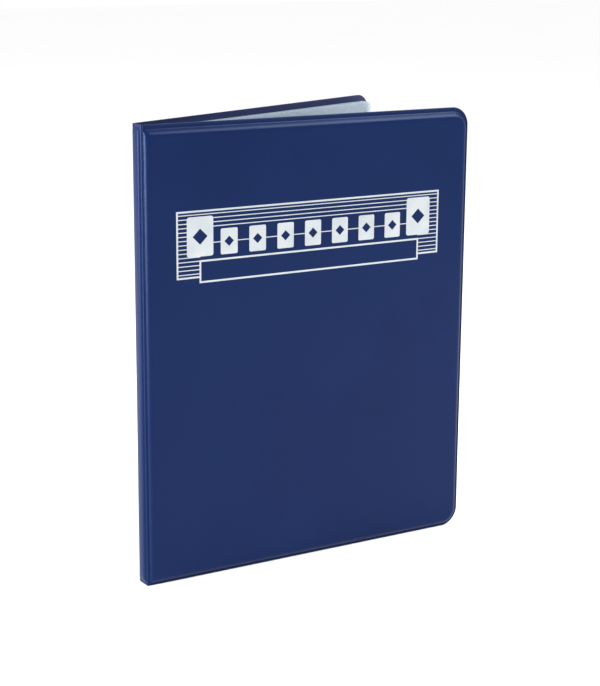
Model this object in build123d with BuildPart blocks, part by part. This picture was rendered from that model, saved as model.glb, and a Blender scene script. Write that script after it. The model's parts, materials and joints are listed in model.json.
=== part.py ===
"""Trading card album: padded vinyl covers welded over board, with ten nine-pocket pages, stood up ajar.

Frame: +Z up, origin at the foot of the spine, midway between the two cover hinge lines.
The spine faces -X, the front cover opens towards -Y and the back cover towards +Y.
All sizes are millimetres, all angles degrees.
"""

from math import cos, radians, sin
import os

from build123d import *

# Overall
cover_height = 305.0
cover_width = 244.0  # hinge line to fore edge
front_opening = 5.0  # front cover from its closed place
back_opening = 17.0  # back cover from its closed place

# Vinyl, welded sheet to sheet at the level of the hinge lines
skin_thickness = 0.4
liner_thickness = 0.35
weld_rim = 3.0  # along the top, the foot and the fore edge
hinge_rim = 0.5  # weld rim beside a hinge line
web_thickness = 0.5
web_radius = 0.35
web_clearance = 0.3  # flexing web to the panel that turns about it

# Cover build-up
board_thickness = 1.8
foam_thickness = 0.75
padded_slope = 3.5  # run of the sloping edge around the padding
hinge_slope = 1.5  # the same beside the hinge line
slope_rounding = 1.5  # where the slope meets the face
cover_corner_radius = 12.7
hinge_corner_radius = 2.5
lining_play = 0.15  # boards and foam from the sloping skin

# Spine build-up
spine_board_thickness = 1.2
spine_rim = 0.5
spine_slope = 0.8
spine_end_rim = 2.0
spine_end_slope = 2.0
spine_corner_radius = 0.5

# Pages
page_count = 10
film_thickness = 0.2
pocket_room = 0.25  # between the two films of a page
page_gap = 0.25  # between one page and the next when closed
fold_gap = 0.15  # the same when folded square to the spine
page_end_clearance = 4.0  # top and foot of the pages to those of the covers
page_fore_clearance = 8.0  # fore edge of the pages to fore edge of the covers
cover_clearance = 0.6  # outermost pages and the binding strip to the closed covers
page_corner_radius = 4.0
pocket_columns = 3
pocket_rows = 3
pockets_from_hinge = 21.5  # cover hinge line to the first seam
pockets_from_top = 7.0  # top of a page to the uppermost slits
seam_width = 3.0
seam_edge_margin = 1.5  # outermost seams to the fore edge and the foot of the page
slit_width = 1.0  # mouth of a pocket
slit_end_margin = 1.5  # slit to the seam beside it
follow_nearest_cover = 0.98  # share of its cover's opening that the outermost page takes
follow_step = 0.006  # and how much less each next page takes

# Binding strip that holds the pages
strip_thickness = 1.0
fin_thickness = 0.3
shortest_fin = 1.8
bead_radius = 0.25
bead_gap = 0.25  # bead to the film that turns about it

# Foil stamp on the front cover
foil_thickness = 0.1
foil_height = 44.0
foil_from_hinge = 21.6
foil_from_fore_edge = 24.4
foil_from_top = 56.0
foil_border = 1.2
foil_rule = 0.6
foil_rule_pitch = 2.75
plate_inset = 16.0  # ends of the title plate from those of the frame
plate_height = 15.0
plate_drop = 3.5  # how far the title plate hangs below the frame
card_count = 9
card_inset = 16.6  # middle of the end cards from the ends of the frame
card_height = 17.0
end_card_height = 26.0
card_shape = 2.5 / 3.5  # width over height
card_lift = 13.9  # foot of the cards above the foot of the frame
card_corner_share = 0.09  # corner radius over width
card_emblem_share = 0.2  # half side of the emblem over width
card_halo = 1.3  # bare vinyl above and below the short cards

# Worked out from the sizes above
mid_height = cover_height / 2
padded_height = board_thickness + foam_thickness + skin_thickness  # weld to the face of a cover
page_thickness = 2 * film_thickness + pocket_room
page_pitch = page_thickness + page_gap
half_film = film_thickness / 2
stack_side = page_pitch * (page_count - 1) / 2 + page_thickness - half_film
hinge_side = stack_side + cover_clearance + liner_thickness  # hinge lines from the middle plane
hinge_gap = web_radius + web_clearance  # hinge line to the edge of the panel beside it
spine_height = spine_board_thickness + skin_thickness
spine_width = 2 * (hinge_side - hinge_gap)
skin_run = 1.15 * skin_thickness  # the skin's thickness measured along the board
fin_root = liner_thickness + strip_thickness
fin_step = page_thickness + fold_gap  # each fin nearer the middle is longer by this
page_start = bead_radius + bead_gap
page_height = cover_height - 2 * page_end_clearance
page_fore_edge = cover_width - page_fore_clearance
seam_block_width = page_fore_edge - seam_edge_margin - pockets_from_hinge
seam_block_height = page_height - seam_edge_margin - pockets_from_top
pocket_pitch_along = (seam_block_width - seam_width) / pocket_columns
pocket_pitch_up = seam_block_height / pocket_rows
foil_width = cover_width - foil_from_hinge - foil_from_fore_edge
foil_along = foil_from_hinge + foil_width / 2
foil_foot = mid_height - foil_from_top - foil_height  # from mid height, as are the next three
foil_up = foil_foot + foil_height / 2
plate_up = foil_foot - plate_drop + plate_height / 2
card_row_up = foil_foot + card_lift + card_height / 2
card_pitch = (foil_width - 2 * card_inset) / (card_count - 1)

os.makedirs("parts", exist_ok=True)


def save(piece, name):
    """Label a finished piece and write its file."""
    piece.part.label = name
    export_step(piece.part, f"parts/{name}.step")


def cover_plane(side, level=0.0):
    """Plane along a cover, its x from the hinge line to the fore edge and its z outwards.

    side is -1 for the front cover and +1 for the back cover. level is measured outwards from the weld.
    """
    opening = radians(front_opening if side < 0 else back_opening)
    along = Vector(cos(opening), side * sin(opening), 0)
    outward = Vector(-sin(opening), side * cos(opening), 0)
    hinge = Vector(0, side * hinge_side, mid_height)
    return Plane(origin=hinge + outward * level, x_dir=along, z_dir=outward)


def spine_plane(level=0.0):
    """Plane along the spine at mid height, its x towards the back cover and its z outwards."""
    return Plane(origin=(-level, 0, mid_height), x_dir=(0, 1, 0), z_dir=(-1, 0, 0))


def cover_outline(plane, inset, hinge_inset):
    """A cover's outline on a plane, drawn in on three sides and beside the hinge line."""
    start = hinge_gap + hinge_inset
    end = cover_width - inset
    with BuildSketch(plane) as outline:
        with Locations(((start + end) / 2, 0)):
            Rectangle(end - start, cover_height - 2 * inset)
        fillet(outline.vertices().group_by(Axis.X)[0], hinge_corner_radius)
        fillet(outline.vertices().group_by(Axis.X)[-1], cover_corner_radius - inset)
    return outline.sketch


def spine_outline(plane, inset, end_inset):
    """The spine's outline on a plane, drawn in beside the hinge lines and at both ends."""
    with BuildSketch(plane) as outline:
        RectangleRounded(spine_width - 2 * inset, cover_height - 2 * end_inset, spine_corner_radius)
    return outline.sketch


def make_cover(side, name):
    """The four layers of a cover: outer skin, foam, board and inner liner."""
    weld = cover_plane(side)
    slope_end = weld_rim + padded_slope
    hinge_slope_end = hinge_rim + hinge_slope

    with BuildPart() as outer_skin:
        extrude(cover_outline(weld, 0, 0), amount=skin_thickness)
        rim = cover_outline(weld, weld_rim, hinge_rim)
        face = cover_outline(cover_plane(side, padded_height), slope_end, hinge_slope_end)
        loft([rim, face])
        face_edges = outer_skin.faces().sort_by(Axis(weld.origin, weld.z_dir))[-1].edges()
        fillet(face_edges, slope_rounding)
        pocket_rim = cover_outline(weld, weld_rim + skin_run, hinge_rim + skin_run)
        pocket_top = cover_outline(
            cover_plane(side, padded_height - skin_thickness), slope_end + skin_run, hinge_slope_end + skin_run
        )
        loft([pocket_rim, pocket_top], mode=Mode.SUBTRACT)
    save(outer_skin, f"{name}_outer_skin")

    lining = skin_run + lining_play
    board_run = board_thickness / (padded_height - skin_thickness)
    with BuildPart() as board:
        board_inset = weld_rim + lining + padded_slope * board_run
        board_hinge_inset = hinge_rim + lining + hinge_slope * board_run
        extrude(cover_outline(weld, board_inset, board_hinge_inset), amount=board_thickness)
    save(board, f"{name}_board")

    with BuildPart() as foam_pad:
        foam_outline = cover_outline(
            cover_plane(side, board_thickness), slope_end + lining, hinge_slope_end + lining
        )
        extrude(foam_outline, amount=foam_thickness)
    save(foam_pad, f"{name}_foam_pad")

    with BuildPart() as inner_liner:
        extrude(cover_outline(weld, 0, 0), amount=-liner_thickness)
    save(inner_liner, f"{name}_inner_liner")


def make_spine():
    """The three layers of the spine, and the flexing webs that carry the covers."""
    with BuildPart() as outer_skin:
        extrude(spine_outline(spine_plane(), 0, 0), amount=skin_thickness)
        rim = spine_outline(spine_plane(), spine_rim, spine_end_rim)
        face = spine_outline(spine_plane(spine_height), spine_rim + spine_slope, spine_end_rim + spine_end_slope)
        loft([rim, face])
        pocket_rim = spine_outline(spine_plane(), spine_rim + skin_run, spine_end_rim + skin_run)
        pocket_top = spine_outline(
            spine_plane(spine_board_thickness),
            spine_rim + spine_slope + skin_run,
            spine_end_rim + spine_end_slope + skin_run,
        )
        loft([pocket_rim, pocket_top], mode=Mode.SUBTRACT)
    save(outer_skin, "spine_outer_skin")

    with BuildPart() as board:
        board_outline = spine_outline(
            spine_plane(),
            spine_rim + spine_slope + skin_run + lining_play,
            spine_end_rim + spine_end_slope + skin_run + lining_play,
        )
        extrude(board_outline, amount=spine_board_thickness)
    save(board, "spine_board")

    with BuildPart() as inner_liner:
        extrude(spine_outline(spine_plane(), 0, 0), amount=-liner_thickness)
    save(inner_liner, "spine_inner_liner")

    for side, name in ((-1, "front"), (1, "back")):
        with BuildPart() as hinge_web:
            with BuildSketch(Plane.XY):
                with Locations((0, side * hinge_side)):
                    Circle(web_radius)
                with Locations((0, side * (hinge_side - hinge_gap / 2))):
                    Rectangle(web_thickness, hinge_gap)
            extrude(amount=cover_height)
        save(hinge_web, f"{name}_hinge_web")


def page_side(number):
    """Which cover a page lies against: the first half follow the front, the rest the back."""
    return -1 if number <= page_count // 2 else 1


def page_depth(number):
    """How many pages lie between this one and its cover."""
    return min(number - 1, page_count - number)


def page_axis(number):
    """Where a page's hinge line crosses the ground, as x and y."""
    reach = fin_root + shortest_fin + fin_step * page_depth(number)
    return reach, page_pitch * (number - (page_count + 1) / 2)


def page_plane(number, level=0.0):
    """Plane through a page's hinge line at mid height, its x to the fore edge and its z to the front."""
    opening = front_opening if page_side(number) < 0 else back_opening
    turn = radians(opening * (follow_nearest_cover - follow_step * page_depth(number)))
    along = Vector(cos(turn), page_side(number) * sin(turn), 0)
    frontward = Vector(page_side(number) * sin(turn), -cos(turn), 0)
    reach, across = page_axis(number)
    return Plane(origin=Vector(reach, across, mid_height) + frontward * level, x_dir=along, z_dir=frontward)


def page_outline(plane, end):
    """A page's outline on a plane, from beside its bead to the fore edge."""
    with BuildSketch(plane) as outline:
        with Locations(((page_start + end) / 2, 0)):
            Rectangle(end - page_start, page_height)
        fillet(outline.vertices().group_by(Axis.X)[-1], page_corner_radius)
    return outline.sketch


def make_page(number):
    """A page: a backing film, a pocket film with nine slits, and the weld seams between them."""
    end = page_fore_edge - page_axis(number)[0]
    seams_along = end - seam_edge_margin - seam_block_width / 2
    seams_up = -page_height / 2 + seam_edge_margin + seam_block_height / 2
    slits_up = seams_up + (pocket_pitch_up - slit_width) / 2

    with BuildPart() as backing_film:
        extrude(page_outline(page_plane(number, -half_film), end), amount=film_thickness)
    save(backing_film, f"page_{number:02d}_backing_film")

    with BuildPart() as weld_seams:
        with BuildSketch(page_plane(number, half_film)):
            with Locations((seams_along, seams_up)):
                with GridLocations(pocket_pitch_along, 0, pocket_columns + 1, 1):
                    Rectangle(seam_width, seam_block_height)
            with Locations((seams_along, seams_up - (pocket_pitch_up - seam_width) / 2)):
                with GridLocations(0, pocket_pitch_up, 1, pocket_rows):
                    Rectangle(seam_block_width, seam_width)
        extrude(amount=pocket_room)
    save(weld_seams, f"page_{number:02d}_weld_seams")

    with BuildPart() as pocket_film:
        level = half_film + pocket_room
        with BuildSketch(page_plane(number, level)):
            with Locations((seams_along, seams_up)):
                RectangleRounded(seam_block_width, seam_block_height, seam_edge_margin)
            with Locations((seams_along, slits_up)):
                with GridLocations(pocket_pitch_along, pocket_pitch_up, pocket_columns, pocket_rows):
                    slit_length = pocket_pitch_along - seam_width - 2 * slit_end_margin
                    Rectangle(slit_length, slit_width, mode=Mode.SUBTRACT)
        extrude(amount=film_thickness)
    save(pocket_film, f"page_{number:02d}_pocket_film")


def make_binding():
    """The strip on the spine, with one fin and bead for each page."""
    strip_width = 2 * (hinge_side - liner_thickness - cover_clearance)
    with BuildPart() as binding:
        with BuildSketch(Plane.XY.offset(mid_height - page_height / 2)):
            with Locations((liner_thickness + strip_thickness / 2, 0)):
                Rectangle(strip_thickness, strip_width)
            for number in range(1, page_count + 1):
                reach, across = page_axis(number)
                with Locations(((fin_root + reach) / 2, across)):
                    Rectangle(reach - fin_root, fin_thickness)
                with Locations((reach, across)):
                    Circle(bead_radius)
        extrude(amount=page_height)
    save(binding, "page_binding")


def card_places():
    """Centre and size of each card in the stamped row: the two end cards are the tall ones."""
    places = []
    for place in range(card_count):
        height = end_card_height if place in (0, card_count - 1) else card_height
        along = foil_along + card_pitch * (place - (card_count - 1) / 2)
        places.append((along, foil_foot + card_lift + height / 2, height * card_shape, height))
    return places


def make_title_foil():
    """The stamped panel: a ruled frame, an empty title plate, and a row of cards strung on one rule."""
    rule_count = int((foil_height - 2 * foil_border) / foil_rule_pitch)
    with BuildPart() as title_foil:
        with BuildSketch(cover_plane(-1, padded_height)):
            with Locations((foil_along, foil_up)):
                Rectangle(foil_width, foil_height)
                Rectangle(foil_width - 2 * foil_border, foil_height - 2 * foil_border, mode=Mode.SUBTRACT)
                with GridLocations(0, foil_rule_pitch, 1, rule_count):
                    Rectangle(foil_width - foil_border, foil_rule)
            with Locations((foil_along, plate_up)):
                plate_width = foil_width - 2 * plate_inset
                Rectangle(plate_width, plate_height)
                Rectangle(plate_width - 2 * foil_border, plate_height - 2 * foil_border, mode=Mode.SUBTRACT)
            with Locations((foil_along, card_row_up)):
                row_width = card_pitch * (card_count - 1)
                Rectangle(row_width, card_height + 2 * card_halo, mode=Mode.SUBTRACT)
                Rectangle(row_width, foil_rule)
            for along, up, width, height in card_places():
                emblem = 2 * card_emblem_share * width
                with Locations((along, up)):
                    RectangleRounded(width, height, card_corner_share * width)
                    Rectangle(emblem, emblem, rotation=45, mode=Mode.SUBTRACT)
        extrude(amount=foil_thickness)
    save(title_foil, "title_foil")


make_cover(-1, "front")
make_cover(1, "back")
make_spine()
make_binding()
for page_number in range(1, page_count + 1):
    make_page(page_number)
make_title_foil()
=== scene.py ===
# Trading card album, stood up ajar on a pale floor: padded vinyl covers, clear pages, foil title
import json
import math

import bmesh
import bpy
from mathutils import Matrix, Vector, noise


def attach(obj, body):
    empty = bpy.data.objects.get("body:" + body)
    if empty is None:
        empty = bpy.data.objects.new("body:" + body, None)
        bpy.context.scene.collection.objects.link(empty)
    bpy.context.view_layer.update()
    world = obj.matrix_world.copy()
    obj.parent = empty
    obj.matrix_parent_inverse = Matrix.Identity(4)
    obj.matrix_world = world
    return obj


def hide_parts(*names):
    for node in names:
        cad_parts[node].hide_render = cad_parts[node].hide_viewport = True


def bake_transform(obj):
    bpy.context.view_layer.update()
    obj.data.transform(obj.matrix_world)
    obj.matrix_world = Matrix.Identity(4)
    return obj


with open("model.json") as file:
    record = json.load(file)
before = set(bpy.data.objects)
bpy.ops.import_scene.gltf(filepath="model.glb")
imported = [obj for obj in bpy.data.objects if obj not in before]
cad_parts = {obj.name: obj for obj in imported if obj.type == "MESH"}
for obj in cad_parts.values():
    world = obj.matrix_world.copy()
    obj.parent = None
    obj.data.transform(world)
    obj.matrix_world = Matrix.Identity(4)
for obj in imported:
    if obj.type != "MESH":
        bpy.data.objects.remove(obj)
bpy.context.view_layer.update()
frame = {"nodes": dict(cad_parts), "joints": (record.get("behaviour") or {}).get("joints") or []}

mm = 0.001
joints = {joint["name"]: joint for joint in frame["joints"]}

# what the pieces share, in millimetres and degrees
album = {
    "height": 305.0,
    "coverWidth": 244.0,  # hinge line to fore edge
    "hingeGap": 0.65,  # hinge line to the edge of the panel beside it
    "frontOpening": 5.0,
    "backOpening": 17.0,
    "hingeSide": 1000 * abs(joints["front_cover_hinge"]["pos_m"][1]),
    "linerThickness": 0.35,
    "cutFromHinge": 5.0,  # panels are cut into a grid from here
    "cutMargin": 9.0,  # and up to here from their other edges
}
rimSide = album["hingeSide"] - album["hingeGap"]  # middle plane to the edge of the spine panel

meshing = {
    "startSteps": 6,  # segments of a corner beside the spine
    "endSteps": 10,  # and of one by the fore edge
    "mergeRings": 0.001,
    "mergeStrips": 0.0005,
    "cutTolerance": 0.0005,
    "levelTolerance": 0.002,
}


# mesh helpers

def newPiece(name, bm, place, body, replaced, look, sharpAngle=40):
    # finished bmesh to object, turned into the album's frame
    bmesh.ops.scale(bm, vec=(mm, mm, mm), verts=bm.verts)
    bmesh.ops.transform(bm, matrix=place, verts=bm.verts)
    mesh = bpy.data.meshes.new(name)
    bm.to_mesh(mesh)
    bm.free()
    for polygon in mesh.polygons:
        polygon.use_smooth = True
    mesh.set_sharp_from_angle(angle=math.radians(sharpAngle))
    piece = bpy.data.objects.new(name, mesh)
    bpy.context.scene.collection.objects.link(piece)
    mesh.materials.append(look)
    if body:
        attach(piece, body)
    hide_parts(*replaced)
    return piece


def addRing(bm, start, end, height, startRadius, endRadius, level):
    # one rounded rectangle lying in x and y, centred on y = 0
    before = set(bm.faces)
    corners = bmesh.ops.create_grid(bm, x_segments=1, y_segments=1, size=0.5)["verts"]
    bmesh.ops.scale(bm, vec=(end - start, height, 1), verts=corners)
    bmesh.ops.translate(bm, vec=((start + end) / 2, 0, level), verts=corners)
    middle = (start + end) / 2
    startCorners = [corner for corner in corners if corner.co.x < middle]
    endCorners = [corner for corner in corners if corner.co.x > middle]
    for radius, steps, chosen in ((startRadius, meshing["startSteps"], startCorners),
                                  (endRadius, meshing["endSteps"], endCorners)):
        bmesh.ops.bevel(bm, geom=chosen, offset=radius, offset_type="OFFSET", segments=steps,
                        profile=0.5, affect="VERTICES", material=-1)
    return [face for face in bm.faces if face not in before][0]


def stackRings(bm, rings, closeStart):
    # walls between one ring and the next, which differ in level, and a face over the last
    for lower, upper in zip(rings, rings[1:]):
        bmesh.ops.bridge_loops(bm, edges=list(lower.edges) + list(upper.edges))
    inner = rings[1:-1] if closeStart else rings[:-1]
    bmesh.ops.delete(bm, geom=inner, context="FACES_ONLY")
    bmesh.ops.remove_doubles(bm, verts=bm.verts, dist=meshing["mergeRings"])


def cutAcross(bm, axis, places):
    # straight cuts through everything, square to x or y
    normal = (1, 0, 0) if axis == "x" else (0, 1, 0)
    for place in places:
        point = (place, 0, 0) if axis == "x" else (0, place, 0)
        everything = list(bm.verts) + list(bm.edges) + list(bm.faces)
        bmesh.ops.bisect_plane(bm, geom=everything, dist=meshing["cutTolerance"],
                               plane_co=point, plane_no=normal)


def evenPlaces(low, high, step):
    count = max(1, round((high - low) / step))
    return [low + (high - low) * number / count for number in range(1, count)]


def cutUp(bm, step):
    reach = album["height"] / 2 - album["cutMargin"]
    cutAcross(bm, "y", evenPlaces(-reach, reach, step))


def cutGrid(bm, step):
    # over a cover's panel, clear of its rounded rims
    cutAcross(bm, "x", evenPlaces(album["hingeGap"] + album["cutFromHinge"],
                                  album["coverWidth"] - album["cutMargin"], step))
    cutUp(bm, step)


def giveWall(piece, thickness):
    wall = piece.modifiers.new("wall", "SOLIDIFY")
    wall.thickness = thickness * mm
    wall.offset = -1


def smoothStep(value):
    value = min(1.0, max(0.0, value))
    return value * value * (3 - 2 * value)


# places of the album's leaves: each is a matrix from a leaf's own x, y and z to the album's frame

def leafPlace(origin, along, outward):
    up = outward.cross(along)
    turned = Matrix((along, up, outward)).transposed().to_4x4()
    return Matrix.Translation(origin) @ turned


def openingOf(side):
    # side is -1 in front and 1 behind
    return math.radians(album["frontOpening"] if side < 0 else album["backOpening"])


def coverPlace(side):
    # x from the hinge line to the fore edge, z outwards
    opening = openingOf(side)
    along = Vector((math.cos(opening), side * math.sin(opening), 0))
    outward = Vector((-math.sin(opening), side * math.cos(opening), 0))
    hingeMiddle = Vector((0, side * album["hingeSide"], album["height"] / 2)) * mm
    return leafPlace(hingeMiddle, along, outward)


def spinePlace():
    # x towards the back cover, z outwards
    middle = Vector((0, 0, album["height"] / 2)) * mm
    return leafPlace(middle, Vector((0, 1, 0)), Vector((-1, 0, 0)))


# materials

def newLook(name):
    look = bpy.data.materials.new(name)
    look.use_nodes = True
    shader = look.node_tree.nodes["Principled BSDF"]
    return look, look.node_tree.nodes, look.node_tree.links, shader


def newGroup(name, inputs, outputs):
    group = bpy.data.node_groups.new(name, "ShaderNodeTree")
    for label, kind, value in inputs:
        socket = group.interface.new_socket(label, in_out="INPUT", socket_type=kind)
        socket.default_value = value
    for label, kind in outputs:
        group.interface.new_socket(label, in_out="OUTPUT", socket_type=kind)
    entry = group.nodes.new("NodeGroupInput")
    leave = group.nodes.new("NodeGroupOutput")
    return group, entry, leave


def placeGroup(nodes, group, **values):
    node = nodes.new("ShaderNodeGroup")
    node.node_tree = group
    for label, value in values.items():
        node.inputs[label].default_value = value
    return node


def addNoise(nodes, links, scale, detail):
    where = nodes.new("ShaderNodeTexCoord")
    pattern = nodes.new("ShaderNodeTexNoise")
    pattern.inputs["Scale"].default_value = scale
    pattern.inputs["Detail"].default_value = detail
    links.new(where.outputs["Object"], pattern.inputs["Vector"])
    return pattern.outputs["Fac"]


def addBump(nodes, links, shader, height, settings):
    bump = nodes.new("ShaderNodeBump")
    bump.inputs["Strength"].default_value = settings["bump"]
    bump.inputs["Distance"].default_value = settings["depth"]
    links.new(height, bump.inputs["Height"])
    links.new(bump.outputs["Normal"], shader.inputs["Normal"])


pressedGrain = {
    "grain": 2600.0, "ripple": 22.0, "rippleShare": 0.6, "rippleDetail": 2.0,
    "cloudSize": 14.0, "cloudDetail": 4.0,
}
rubbing = {
    "patches": 30.0, "detail": 6.0, "low": 0.3, "high": 0.45,
    "stretch": (1.0, 1.0, 0.35),  # rubbed along the height
    "crispness": 0.5,
    "spread": (0.2, 0.8),  # wide enough that no patch is cut off at its edge
}


def makePressedGrain():
    # fine pebbled grain of calendered vinyl, over a slow ripple of the sheet
    group, entry, leave = newGroup(
        "pressedGrain",
        [("Grain", "NodeSocketFloat", pressedGrain["grain"]),
         ("Ripple", "NodeSocketFloat", pressedGrain["ripple"]),
         ("RippleShare", "NodeSocketFloat", pressedGrain["rippleShare"])],
        [("Height", "NodeSocketFloat"), ("Cloud", "NodeSocketFloat")])
    nodes, links = group.nodes, group.links
    where = nodes.new("ShaderNodeTexCoord")
    pebbles = nodes.new("ShaderNodeTexVoronoi")
    pebbles.feature = "SMOOTH_F1"
    ripple = nodes.new("ShaderNodeTexNoise")
    ripple.inputs["Detail"].default_value = pressedGrain["rippleDetail"]
    cloud = addNoise(nodes, links, pressedGrain["cloudSize"], pressedGrain["cloudDetail"])
    mix = nodes.new("ShaderNodeMix")
    links.new(where.outputs["Object"], pebbles.inputs["Vector"])
    links.new(where.outputs["Object"], ripple.inputs["Vector"])
    links.new(entry.outputs["Grain"], pebbles.inputs["Scale"])
    links.new(entry.outputs["Ripple"], ripple.inputs["Scale"])
    links.new(entry.outputs["RippleShare"], mix.inputs["Factor"])
    links.new(pebbles.outputs["Distance"], mix.inputs["A"])
    links.new(ripple.outputs["Fac"], mix.inputs["B"])
    links.new(mix.outputs["Result"], leave.inputs["Height"])
    links.new(cloud, leave.inputs["Cloud"])
    return group


def makeHandling():
    # faint rubbed patches from sliding on shelves
    group, entry, leave = newGroup(
        "handling",
        [("Patches", "NodeSocketFloat", rubbing["patches"]),
         ("Detail", "NodeSocketFloat", rubbing["detail"]),
         ("Low", "NodeSocketFloat", rubbing["low"]), ("High", "NodeSocketFloat", rubbing["high"])],
        [("Roughness", "NodeSocketFloat"), ("Mask", "NodeSocketFloat")])
    nodes, links = group.nodes, group.links
    where = nodes.new("ShaderNodeTexCoord")
    stretch = nodes.new("ShaderNodeMapping")
    stretch.inputs["Scale"].default_value = rubbing["stretch"]
    patches = nodes.new("ShaderNodeTexNoise")
    patches.inputs["Roughness"].default_value = rubbing["crispness"]
    spread = nodes.new("ShaderNodeMapRange")
    spread.inputs["From Min"].default_value, spread.inputs["From Max"].default_value = rubbing["spread"]
    level = nodes.new("ShaderNodeMapRange")
    links.new(where.outputs["Object"], stretch.inputs["Vector"])
    links.new(stretch.outputs["Vector"], patches.inputs["Vector"])
    links.new(entry.outputs["Patches"], patches.inputs["Scale"])
    links.new(entry.outputs["Detail"], patches.inputs["Detail"])
    links.new(patches.outputs["Fac"], spread.inputs["Value"])
    links.new(spread.outputs["Result"], level.inputs["Value"])
    links.new(entry.outputs["Low"], level.inputs["To Min"])
    links.new(entry.outputs["High"], level.inputs["To Max"])
    links.new(level.outputs["Result"], leave.inputs["Roughness"])
    links.new(spread.outputs["Result"], leave.inputs["Mask"])
    return group


def mixColors(nodes, links, factor, colorA, colorB):
    mix = nodes.new("ShaderNodeMix")
    mix.data_type = "RGBA"
    mix.inputs["A"].default_value = (*colorA, 1)
    mix.inputs["B"].default_value = (*colorB, 1)
    links.new(factor, mix.inputs["Factor"])
    return mix.outputs["Result"]


def makeVinyl(name, settings, grain, handling):
    # pressed sheet: grain in its bump, clouds in its colour, rubbed patches in its gloss
    look, nodes, links, shader = newLook(name)
    surface = placeGroup(nodes, grain, Grain=settings["grain"], Ripple=settings["ripple"],
                         RippleShare=settings["rippleShare"])
    rubbed = placeGroup(nodes, handling, Patches=settings["patches"], Detail=settings["detail"],
                        Low=settings["roughLow"], High=settings["roughHigh"])
    color = mixColors(nodes, links, surface.outputs["Cloud"], settings["dark"], settings["light"])
    links.new(color, shader.inputs["Base Color"])
    links.new(rubbed.outputs["Roughness"], shader.inputs["Roughness"])
    addBump(nodes, links, shader, surface.outputs["Height"], settings)
    shader.inputs["Specular IOR Level"].default_value = settings["shine"]
    shader.inputs["Specular Tint"].default_value = (*settings["shineTint"], 1)
    return look


def makeFilm(name, settings, handling):
    # soft clear vinyl with a faint blue cast and cloudy plasticiser marks
    look, nodes, links, shader = newLook(name)
    rubbed = placeGroup(nodes, handling, Patches=settings["patches"], Detail=settings["detail"],
                        Low=settings["roughLow"], High=settings["roughHigh"])
    color = mixColors(nodes, links, rubbed.outputs["Mask"], settings["clear"], settings["cloudy"])
    links.new(color, shader.inputs["Base Color"])
    links.new(rubbed.outputs["Roughness"], shader.inputs["Roughness"])
    opacity = nodes.new("ShaderNodeMapRange")
    opacity.inputs["To Min"].default_value = settings["alphaLow"]
    opacity.inputs["To Max"].default_value = settings["alphaHigh"]
    links.new(rubbed.outputs["Mask"], opacity.inputs["Value"])
    links.new(opacity.outputs["Result"], shader.inputs["Alpha"])
    waves = addNoise(nodes, links, settings["waves"], settings["waveDetail"])
    addBump(nodes, links, shader, waves, settings)
    shader.inputs["IOR"].default_value = settings["ior"]
    return look


def makeSeamLook(settings):
    # heat-sealed bars: whiter than the film, with the tool's small diamond print
    look, nodes, links, shader = newLook("sealedSeam")
    where = nodes.new("ShaderNodeTexCoord")
    turn = nodes.new("ShaderNodeMapping")
    turn.inputs["Rotation"].default_value = (0, math.radians(settings["printTurn"]), 0)
    diamonds = nodes.new("ShaderNodeTexChecker")
    diamonds.inputs["Scale"].default_value = 1.0 / (settings["printPitch"] * mm)
    links.new(where.outputs["Object"], turn.inputs["Vector"])
    links.new(turn.outputs["Vector"], diamonds.inputs["Vector"])
    color = mixColors(nodes, links, diamonds.outputs["Fac"], settings["low"], settings["high"])
    links.new(color, shader.inputs["Base Color"])
    addBump(nodes, links, shader, diamonds.outputs["Fac"], settings)
    shader.inputs["Roughness"].default_value = settings["rough"]
    return look


def makeFoilLook(settings):
    # hot-stamped silver: bright, slightly mottled where the padding gave way under the die
    look, nodes, links, shader = newLook("stampedSilver")
    mottle = addNoise(nodes, links, settings["mottle"], settings["detail"])
    color = mixColors(nodes, links, mottle, settings["cool"], settings["warm"])
    links.new(color, shader.inputs["Base Color"])
    rough = nodes.new("ShaderNodeMapRange")
    rough.inputs["To Min"].default_value = settings["roughLow"]
    rough.inputs["To Max"].default_value = settings["roughHigh"]
    links.new(mottle, rough.inputs["Value"])
    links.new(rough.outputs["Result"], shader.inputs["Roughness"])
    addBump(nodes, links, shader, mottle, settings)
    shader.inputs["Metallic"].default_value = settings["metallic"]
    return look


def makeFibreLook(name, settings):
    # recycled board or open-cell foam: a speckled matte body
    look, nodes, links, shader = newLook(name)
    speckle = addNoise(nodes, links, settings["speckle"], settings["detail"])
    color = mixColors(nodes, links, speckle, settings["dark"], settings["light"])
    links.new(color, shader.inputs["Base Color"])
    addBump(nodes, links, shader, speckle, settings)
    shader.inputs["Roughness"].default_value = settings["rough"]
    return look


coverVinyl = {
    "dark": (0.0005, 0.0055, 0.040), "light": (0.0022, 0.0105, 0.060),
    "grain": 2400.0, "ripple": 24.0, "rippleShare": 0.75, "patches": 16.0, "detail": 2.0,
    "roughLow": 0.27, "roughHigh": 0.37, "bump": 0.5, "depth": 0.0003, "shine": 0.2,
    "shineTint": (0.5, 0.68, 1.0),
}
# liner: the cover's navy vinyl with lighter dark and light colours, a painted lift of light standing in
# for the shade the liner sits in between the covers
linerVinylPaintedLift = dict(coverVinyl, dark=(0.006, 0.010, 0.048), light=(0.011, 0.016, 0.066),
                  roughLow=0.36, roughHigh=0.48, shine=0.35)
pageFilm = {
    "clear": (0.34, 0.41, 0.49), "cloudy": (0.39, 0.46, 0.53), "patches": 9.0, "detail": 1.5,
    "roughLow": 0.20, "roughHigh": 0.30, "alphaLow": 0.28, "alphaHigh": 0.36,
    "waves": 45.0, "waveDetail": 2.0, "bump": 0.3, "depth": 0.0006, "ior": 1.5,
}
backingFilm = dict(pageFilm, alphaLow=0.34, alphaHigh=0.42)
bindingFilm = dict(pageFilm, alphaLow=0.90, alphaHigh=0.98)
seamPrint = {
    "low": (0.56, 0.60, 0.63), "high": (0.70, 0.73, 0.74), "printPitch": 0.9, "printTurn": 45.0,
    "bump": 0.5, "depth": 0.0001, "rough": 0.5,
}
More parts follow.
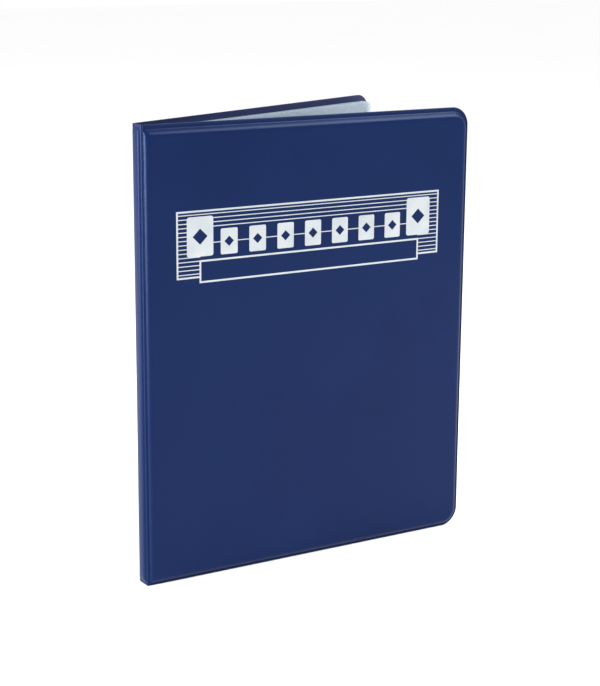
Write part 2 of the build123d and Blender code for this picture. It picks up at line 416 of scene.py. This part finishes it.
silver = {
    "cool": (0.34, 0.38, 0.41), "warm": (0.54, 0.56, 0.57), "mottle": 70.0,
    "roughLow": 0.26, "roughHigh": 0.42, "metallic": 0.7, "detail": 5.0, "bump": 0.35, "depth": 0.0002,
}
greyBoard = {
    "dark": (0.16, 0.145, 0.12), "light": (0.26, 0.24, 0.21), "speckle": 900.0, "detail": 8.0,
    "bump": 0.4, "depth": 0.0001, "rough": 0.9,
}
whiteFoam = dict(greyBoard, dark=(0.62, 0.62, 0.58), light=(0.80, 0.80, 0.77), speckle=1600.0,
                 depth=0.0003)

grainGroup = makePressedGrain()
handlingGroup = makeHandling()
coverLook = makeVinyl("navyCoverVinyl", coverVinyl, grainGroup, handlingGroup)
linerLookPaintedLift = makeVinyl("navyLinerVinylPaintedLift", linerVinylPaintedLift, grainGroup, handlingGroup)
filmLook = makeFilm("clearPageFilm", pageFilm, handlingGroup)
backingLook = makeFilm("milkyBackingFilm", backingFilm, handlingGroup)
bindingLook = makeFilm("milkyBindingFilm", bindingFilm, handlingGroup)
seamLook = makeSeamLook(seamPrint)
foilLook = makeFoilLook(silver)
boardLook = makeFibreLook("greyBoard", greyBoard)
foamLook = makeFibreLook("openFoam", whiteFoam)
print("materials ready")


# covers: outer skin over foam, and the liner inside

skin = {
    # insets from the fore edge and foot, from the head and from the hinge,
    # then the level above the weld and the radius of the hinge corners
    "rows": [
        (0.00, 0.00, 0.00, 0.00, 0.6), (0.00, 0.00, 0.00, 0.22, 0.6), (0.10, 0.10, 0.08, 0.42, 0.6),
        (0.30, 0.32, 0.16, 0.52, 0.7), (0.52, 0.58, 0.24, 0.44, 0.8), (0.75, 0.85, 0.30, 0.34, 0.9),
        (1.50, 2.70, 0.36, 0.32, 1.4), (1.85, 3.10, 0.42, 0.42, 1.6), (2.05, 3.45, 0.55, 0.75, 1.8),
        (2.32, 4.00, 0.80, 1.30, 2.0), (2.70, 4.60, 1.15, 1.85, 2.2), (3.25, 5.25, 1.60, 2.35, 2.4),
        (3.95, 5.95, 2.15, 2.72, 2.6), (4.70, 6.60, 2.80, 2.94, 2.9), (5.40, 7.20, 3.45, 3.03, 3.2),
        (6.10, 7.80, 4.00, 2.98, 3.4), (6.90, 8.60, 4.70, 3.02, 3.6), (8.00, 9.60, 5.60, 3.03, 4.0),
    ],
    "cornerRadius": 12.7,
    "thickness": 0.28,
    "gridStep": 9.0,
    "sag": 0.10,  # how far the sheet dips between its high spots
    "sagSize": 55.0,
    "sagSeed": 10,
}
liner = {
    "rows": [
        (0.00, 0.00, 0.00, 0.00, 0.6), (0.00, 0.00, 0.00, -0.24, 0.6), (0.10, 0.10, 0.08, -0.32, 0.6),
        (0.32, 0.32, 0.20, -0.35, 0.7), (0.70, 0.70, 0.34, -0.30, 0.8), (2.50, 2.50, 0.45, -0.22, 1.2),
        (3.20, 3.20, 0.60, -0.26, 1.6), (4.20, 4.20, 1.20, -0.34, 2.0), (6.00, 6.00, 2.40, -0.35, 2.4),
    ],
    "gridStep": 16.0,
    "sag": 0.05,
    "sagSize": 70.0,
    "sagSeed": 30,
}
foam = {
    "rows": [
        (0.0, 0.0, 1.80), (-0.3, -0.1, 2.05), (-0.1, 0.0, 2.35), (0.6, 0.4, 2.52), (1.8, 1.2, 2.55),
    ],
    "inset": 7.2,
    "hingeInset": 3.0,
    "hingeRadius": 2.5,
    "fill": 0.35,
}


def panelRings(bm, rows):
    # a cover's outline at each row's insets and level
    rings = []
    for inset, headInset, hingeInset, level, hingeRadius in rows:
        ring = addRing(bm, album["hingeGap"] + hingeInset, album["coverWidth"] - inset,
                       album["height"] - inset - headInset, hingeRadius,
                       skin["cornerRadius"] - inset, level)
        bmesh.ops.translate(bm, vec=(0, (inset - headInset) / 2, 0), verts=ring.verts)
        rings.append(ring)
    return rings


def dipFace(bm, side, settings):
    # the sheet isn't flat: broad shallow dips over the face, none deeper than the sag
    level = settings["rows"][-1][3]
    seed = settings["sagSeed"] * side
    direction = 1 if level > 0 else -1
    for vert in bm.verts:
        if abs(vert.co.z - level) < meshing["levelTolerance"]:
            spot = Vector((vert.co.x, vert.co.y, seed)) / settings["sagSize"]
            vert.co.z -= direction * settings["sag"] * (0.5 + 0.5 * noise.noise(spot))


def makeCoverSkin(side, name):
    bm = bmesh.new()
    stackRings(bm, panelRings(bm, skin["rows"]), False)
    cutGrid(bm, skin["gridStep"])
    bmesh.ops.recalc_face_normals(bm, faces=bm.faces)
    dipFace(bm, side, skin)
    piece = newPiece(name + "OuterSkin", bm, coverPlace(side), name + "_cover",
                     [name + "_outer_skin"], coverLook)
    giveWall(piece, skin["thickness"])


def makeCoverLiner(side, name):
    bm = bmesh.new()
    stackRings(bm, panelRings(bm, liner["rows"]), True)
    cutGrid(bm, liner["gridStep"])
    bmesh.ops.recalc_face_normals(bm, faces=bm.faces)
    dipFace(bm, side, liner)
    newPiece(name + "InnerLiner", bm, coverPlace(side), name + "_cover",
             [name + "_inner_liner"], linerLookPaintedLift)


def makeFoamPad(side, name):
    bm = bmesh.new()
    rings = []
    for inset, hingeInset, level in foam["rows"]:
        inset += foam["inset"]
        rings.append(addRing(bm, album["hingeGap"] + foam["hingeInset"] + hingeInset,
                             album["coverWidth"] - inset, album["height"] - 2 * inset,
                             foam["hingeRadius"], skin["cornerRadius"] - inset, level))
    stackRings(bm, rings, True)
    bmesh.ops.recalc_face_normals(bm, faces=bm.faces)
    pad = newPiece(name + "FoamPad", bm, coverPlace(side), name + "_cover",
                   [name + "_foam_pad"], foamLook)


for side, name in ((-1, "front"), (1, "back")):
    makeCoverSkin(side, name)
    makeCoverLiner(side, name)
    makeFoamPad(side, name)
print("covers ready")


# spine: its own padded strip between two flexing webs

spine = {
    # insets from the long sides and from the ends, then the level above the weld
    "rows": [
        (0.00, 0.00, 0.00), (0.00, 0.00, 0.22), (0.08, 0.10, 0.38), (0.20, 0.32, 0.44),
        (0.34, 0.70, 0.36), (0.46, 1.90, 0.35), (0.62, 2.30, 0.56), (0.95, 2.90, 1.00),
        (1.40, 3.60, 1.36), (2.00, 4.40, 1.56), (2.80, 5.20, 1.68), (3.70, 6.20, 1.74),
        (4.40, 7.20, 1.76),
    ],
    "linerRows": [(0.00, 0.00, 0.00), (0.00, 0.00, -0.26), (0.10, 0.10, -0.34), (0.60, 1.00, -0.35)],
    "cornerRadius": 0.4,
    "thickness": 0.28,
    "cutStep": 12.0,
    "sharpAngle": 50.0,
}
web = {
    "outside": 0.36,  # from the weld's level
    "inside": 0.32,
    "tuck": 0.25,  # how far it runs on under the rims beside it
    "bendSteps": 10,
    "strips": 8,  # along the height
}


def makeSpinePanel(name, rows, closeStart, replaced, look):
    bm = bmesh.new()
    rings = []
    for inset, endInset, level in rows:
        rings.append(addRing(bm, inset - rimSide, rimSide - inset, album["height"] - 2 * endInset,
                             spine["cornerRadius"], spine["cornerRadius"], level))
    stackRings(bm, rings, closeStart)
    cutUp(bm, spine["cutStep"])
    bmesh.ops.recalc_face_normals(bm, faces=bm.faces)
    return newPiece(name, bm, spinePlace(), "spine", [replaced], look, spine["sharpAngle"])


def webMesh(side):
    # a strip of both sheets, led out of the spine's rim, spun round the hinge line
    # and led on into the cover's rim
    opening = openingOf(side)
    bendRadius = album["hingeGap"] * math.tan((math.pi / 2 + opening) / 2)
    along = Vector((math.cos(opening), side * math.sin(opening), 0))
    bm = bmesh.new()
    section = bmesh.ops.create_grid(bm, x_segments=1, y_segments=web["strips"], size=0.5)["verts"]
    bmesh.ops.scale(bm, vec=(web["outside"] + web["inside"], album["height"], 1), verts=section)
    upright = Matrix.Rotation(math.radians(90), 3, "X")
    bmesh.ops.rotate(bm, cent=(0, 0, 0), matrix=upright, verts=section)
    middle = (web["inside"] - web["outside"]) / 2
    bmesh.ops.translate(bm, vec=(middle, side * (rimSide - web["tuck"]), album["height"] / 2),
                        verts=section)

    def leadOn(geom, step):
        grown = bmesh.ops.extrude_face_region(bm, geom=geom)["geom"]
        moved = [item for item in grown if isinstance(item, bmesh.types.BMVert)]
        bmesh.ops.translate(bm, vec=step, verts=moved)
        return [item for item in grown if isinstance(item, bmesh.types.BMFace)]

    rooted = leadOn(list(bm.faces), Vector((0, side * web["tuck"], 0)))
    spun = bmesh.ops.spin(bm, geom=rooted, cent=(bendRadius, side * rimSide, 0), axis=(0, 0, 1),
                          angle=-side * (math.pi / 2 - opening), steps=web["bendSteps"])["geom_last"]
    bmesh.ops.delete(bm, geom=rooted, context="FACES_ONLY")
    bent = [item for item in spun if isinstance(item, bmesh.types.BMFace)]
    leadOn(bent, along * web["tuck"])
    bmesh.ops.remove_doubles(bm, verts=bm.verts, dist=meshing["mergeStrips"])
    bmesh.ops.recalc_face_normals(bm, faces=bm.faces)
    return bm


def makeHingeWeb(side, name):
    flexWeb = newPiece(name + "HingeWeb", webMesh(side), Matrix.Identity(4), None,
                       [name + "_hinge_web"], coverLook)
    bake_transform(flexWeb)


for side, name in ((-1, "front"), (1, "back")):
    makeHingeWeb(side, name)

spineSkin = makeSpinePanel("spineOuterSkin", spine["rows"], False, "spine_outer_skin",
                           coverLook)
giveWall(spineSkin, spine["thickness"])
makeSpinePanel("spineInnerLiner", spine["linerRows"], True, "spine_inner_liner",
               linerLookPaintedLift)
print("spine ready")


# pages: two films each, welded in bars, rooted in the strip on the spine

page = {
    "count": 10,
    "endClearance": 4.0,
    "foreClearance": 8.0,
    "film": 0.2,
    "pocketRoom": 0.25,
    "cornerRadius": 4.0,
    "fromHinge": 21.5,  # cover hinge line to the first seam
    "fromTop": 7.0,
    "seam": 3.0,
    "edgeMargin": 1.5,
    "slit": 1.0,
    "slitMargin": 1.5,
    "columns": 3,
    "rows": 3,
    "gridStep": 14.0,
    "layerGap": 0.01,  # between a seam and each film
    "flexCuts": [-2.0, -1.0, -0.4, 0.2, 0.8, 1.5, 2.2, 3.0, 4.0, 5.0, 7.0, 10.0],
    "bendBefore": 1.0,  # the film starts to flex this far before its hinge line
    "bendAfter": 5.0,
    "wave": 0.28,  # the films' soft waviness, shared by all so that they nest
    "waveSize": 85.0,
    "waveSpot": (3.1, 7.7, 1.3),  # where in the noise the waves are taken from
    "waveStart": 8.0,  # flat up to here from the binding
    "waveRun": 70.0,  # and fully waved this much further on
    "rootRadius": 0.2,
    "rootClearance": 0.3,
    "blockRadius": 0.5,
}
strip = {"thickness": 1.0, "sideMargin": 0.95, "rooted": 0.3, "edgeRadius": 0.25, "edgeSteps": 3}


def pageWave(x, y, fromFore):
    # none at the binding, most towards the fore edge
    spot = Vector((fromFore, y, 0)) / page["waveSize"]
    growth = smoothStep((x - page["waveStart"]) / page["waveRun"])
    return page["wave"] * growth * noise.noise(spot + Vector(page["waveSpot"]))


def makePage(number):
    body = f"page_{number:02d}"
    joint = joints[body + "_turn"]
    axisX, axisY = joint["pos_m"][0] / mm, joint["pos_m"][1] / mm
    side = -1 if joint["axis"][2] < 0 else 1
    turn = side * math.radians(-joint["range_deg"][0])  # from closed to rest
    end = album["coverWidth"] - page["foreClearance"] - axisX
    height = album["height"] - 2 * page["endClearance"]
    seamEnd = end - page["edgeMargin"]
    seamStart = page["fromHinge"] - axisX
    seamFoot = page["edgeMargin"] - height / 2
    seamTop = height / 2 - page["fromTop"]
    pitchAlong = (seamEnd - seamStart - page["seam"]) / page["columns"]
    pitchUp = (seamTop - seamFoot) / page["rows"]
    closed = leafPlace(Vector((axisX, axisY, album["height"] / 2)) * mm,
                       Vector((1, 0, 0)), Vector((0, -1, 0)))

    def finishFilm(bm, thickness, level):
        # wall, then waves, then the page's turn about its own hinge line
        bmesh.ops.recalc_face_normals(bm, faces=bm.faces)
        bmesh.ops.solidify(bm, geom=list(bm.faces), thickness=thickness)
        low = min(vert.co.z for vert in bm.verts)
        bmesh.ops.translate(bm, vec=(0, 0, level - low), verts=bm.verts)
        for vert in bm.verts:
            vert.co.z += pageWave(vert.co.x, vert.co.y, end - vert.co.x)
        for vert in bm.verts:
            share = smoothStep((vert.co.x + page["bendBefore"])
                               / (page["bendBefore"] + page["bendAfter"]))
            vert.co = Matrix.Rotation(turn * share, 3, "Y") @ vert.co
        bmesh.ops.recalc_face_normals(bm, faces=bm.faces)

    # every layer is cut on the same lines, so that they bend alike and lie flush
    columnEdges = [seamStart + pitchAlong * n + offset for n in range(page["columns"] + 1)
                   for offset in (0, page["seam"])]
    slitEnds = [seamStart + pitchAlong * n + page["seam"] + page["slitMargin"]
                for n in range(page["columns"])]
    slitEnds += [seamStart + pitchAlong * (n + 1) - page["slitMargin"] for n in range(page["columns"])]
    rowFeet = [seamFoot + pitchUp * n for n in range(page["rows"])]
    slitTops = [foot + pitchUp for foot in rowFeet]
    alongCuts = columnEdges + slitEnds + evenPlaces(seamStart, seamEnd, page["gridStep"])
    upCuts = rowFeet + [foot + page["seam"] for foot in rowFeet]
    upCuts += [top - page["slit"] for top in slitTops]
    upCuts += slitTops + evenPlaces(seamFoot, seamTop, page["gridStep"])

    def cutLayer(bm):
        cutAcross(bm, "x", alongCuts)
        cutAcross(bm, "y", upCuts)

    # backing film, from inside the binding strip to the fore edge
    root = album["linerThickness"] + strip["thickness"] - strip["rooted"] - axisX
    backing = bmesh.new()
    addRing(backing, root, end, height, page["rootRadius"], page["cornerRadius"], 0)
    firstCut = root + page["rootClearance"]
    cutAcross(backing, "x", [place for place in page["flexCuts"] if place > firstCut])
    cutLayer(backing)
    finishFilm(backing, page["film"], -page["film"] / 2)
    film = newPiece(f"page{number:02d}BackingFilm", backing, closed, None,
                    [body + "_backing_film"], backingLook)
    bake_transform(film)

    def makeBlock(cornerRadius, unwanted):
        # the pocket block as one sheet, less the faces that aren't wanted
        bm = bmesh.new()
        addRing(bm, seamStart, seamEnd, seamTop - seamFoot, cornerRadius, cornerRadius, 0)
        bmesh.ops.translate(bm, vec=(0, (seamTop + seamFoot) / 2, 0), verts=bm.verts)
        cutLayer(bm)
        holes = [face for face in bm.faces if unwanted(face.calc_center_median())]
        bmesh.ops.delete(bm, geom=holes, context="FACES")
        return bm

    def inPocket(spot):
        acrossSeam = (spot.x - seamStart) % pitchAlong
        upSeam = (spot.y - seamFoot) % pitchUp
        return acrossSeam > page["seam"] and upSeam > page["seam"]

    def inSlit(spot):
        acrossSeam = (spot.x - seamStart) % pitchAlong
        belowTop = pitchUp - (spot.y - seamFoot) % pitchUp
        slitStart = page["seam"] + page["slitMargin"]
        slitEnd = pitchAlong - page["slitMargin"]
        return slitStart < acrossSeam < slitEnd and belowTop < page["slit"]

    seams = makeBlock(page["blockRadius"], inPocket)
    finishFilm(seams, page["pocketRoom"] - 2 * page["layerGap"], page["film"] / 2 + page["layerGap"])
    newPiece(f"page{number:02d}WeldSeams", seams, closed, body, [body + "_weld_seams"],
             seamLook)
    pocket = makeBlock(page["edgeMargin"], inSlit)
    finishFilm(pocket, page["film"], page["film"] / 2 + page["pocketRoom"])
    newPiece(f"page{number:02d}PocketFilm", pocket, closed, body, [body + "_pocket_film"],
             filmLook)


for number in range(1, page["count"] + 1):
    makePage(number)


def makeBindingStrip():
    height = album["height"] - 2 * page["endClearance"]
    width = 2 * (album["hingeSide"] - album["linerThickness"] - strip["sideMargin"])
    bm = bmesh.new()
    block = bmesh.ops.create_cube(bm, size=1)["verts"]
    bmesh.ops.scale(bm, vec=(strip["thickness"], width, height), verts=block)
    bmesh.ops.bevel(bm, geom=list(bm.edges), offset=strip["edgeRadius"], segments=strip["edgeSteps"],
                    profile=0.5, affect="EDGES", material=-1)
    middle = album["linerThickness"] + strip["thickness"] / 2
    bmesh.ops.translate(bm, vec=(middle, 0, album["height"] / 2), verts=bm.verts)
    newPiece("bindingStrip", bm, Matrix.Identity(4), "spine", ["page_binding"],
             bindingLook)


makeBindingStrip()
print("pages ready")

# carried-over solids get their finishes

finishes = {
    "title_foil": foilLook, "front_board": boardLook, "back_board": boardLook, "spine_board": boardLook,
}
for nodeName, look in finishes.items():
    node = frame["nodes"][nodeName]
    node.data.materials.clear()
    node.data.materials.append(look)


# floor, light and camera

studio = {
    "floor": (0.96, 0.96, 0.96),
    "paler": 1.02,  # how much lighter the floor's pale places are
    "fleck": 3.0,
    "fleckDetail": 2.0,
    "rough": 0.9,
    "shine": 0.1,
    "sweep": 14.0,  # metres across
    "world": 1.0,
}
softboxes = {
    "leftSoftbox": {
        "place": (-1.3, 0.2, 0.42), "aim": (0.0, 0.0, 0.15), "size": (0.7, 0.8), "power": 37,
    },
    "rightSoftbox": {
        "place": (0.9, -0.8, 1.25), "aim": (0.12, 0.0, 0.2), "size": (0.9, 0.8), "power": 24,
    },
}
camera = {
    "place": (-0.44978, -0.85676, 0.42333),
    "azimuth": -33.74,
    "elevation": 12.489,
    "tilt": 0.409,
    "lens": 81.667,
    "sensor": 36.0,
    "shift": -0.1,
    "clip": (0.01, 50.0),
}


def makeFloor():
    look, nodes, links, shader = newLook("paleFloor")
    fleck = addNoise(nodes, links, studio["fleck"], studio["fleckDetail"])
    paler = tuple(min(1.0, value * studio["paler"]) for value in studio["floor"])
    links.new(mixColors(nodes, links, fleck, studio["floor"], paler), shader.inputs["Base Color"])
    shader.inputs["Roughness"].default_value = studio["rough"]
    shader.inputs["Specular IOR Level"].default_value = studio["shine"]
    bm = bmesh.new()
    bmesh.ops.create_grid(bm, x_segments=1, y_segments=1, size=studio["sweep"] / 2)
    mesh = bpy.data.meshes.new("floor")
    bm.to_mesh(mesh)
    bm.free()
    mesh.materials.append(look)
    floor = bpy.data.objects.new("floor", mesh)
    bpy.context.scene.collection.objects.link(floor)


def makeLight(name, settings):
    lamp = bpy.data.lights.new(name, "AREA")
    lamp.shape = "RECTANGLE"
    lamp.size, lamp.size_y = settings["size"]
    lamp.energy = settings["power"]
    light = bpy.data.objects.new(name, lamp)
    light.location = settings["place"]
    outlook = Vector(settings["aim"]) - Vector(settings["place"])
    light.rotation_euler = outlook.to_track_quat("-Z", "Y").to_euler()
    bpy.context.scene.collection.objects.link(light)


def makeCamera():
    lens = bpy.data.cameras.new("camera")
    lens.lens = camera["lens"]
    lens.sensor_width = camera["sensor"]
    lens.shift_y = camera["shift"]
    lens.clip_start, lens.clip_end = camera["clip"]
    view = bpy.data.objects.new("camera", lens)
    azimuth, elevation = math.radians(camera["azimuth"]), math.radians(camera["elevation"])
    back = Vector((math.sin(azimuth) * math.cos(elevation), -math.cos(azimuth) * math.cos(elevation),
                   math.sin(elevation)))
    tilt = Matrix.Rotation(math.radians(camera["tilt"]), 3, "Z")
    turned = (-back).to_track_quat("-Z", "Y").to_matrix() @ tilt
    view.rotation_euler = turned.to_euler()
    view.location = camera["place"]
    bpy.context.scene.collection.objects.link(view)
    bpy.context.scene.camera = view


makeFloor()
for lightName, lightSettings in softboxes.items():
    makeLight(lightName, lightSettings)
world = bpy.data.worlds.new("studio")
world.use_nodes = True
background = world.node_tree.nodes["Background"]
background.inputs["Color"].default_value = (1, 1, 1, 1)
background.inputs["Strength"].default_value = studio["world"]
bpy.context.scene.world = world
bpy.context.scene.view_settings.view_transform = "Standard"
makeCamera()
print("studio ready")
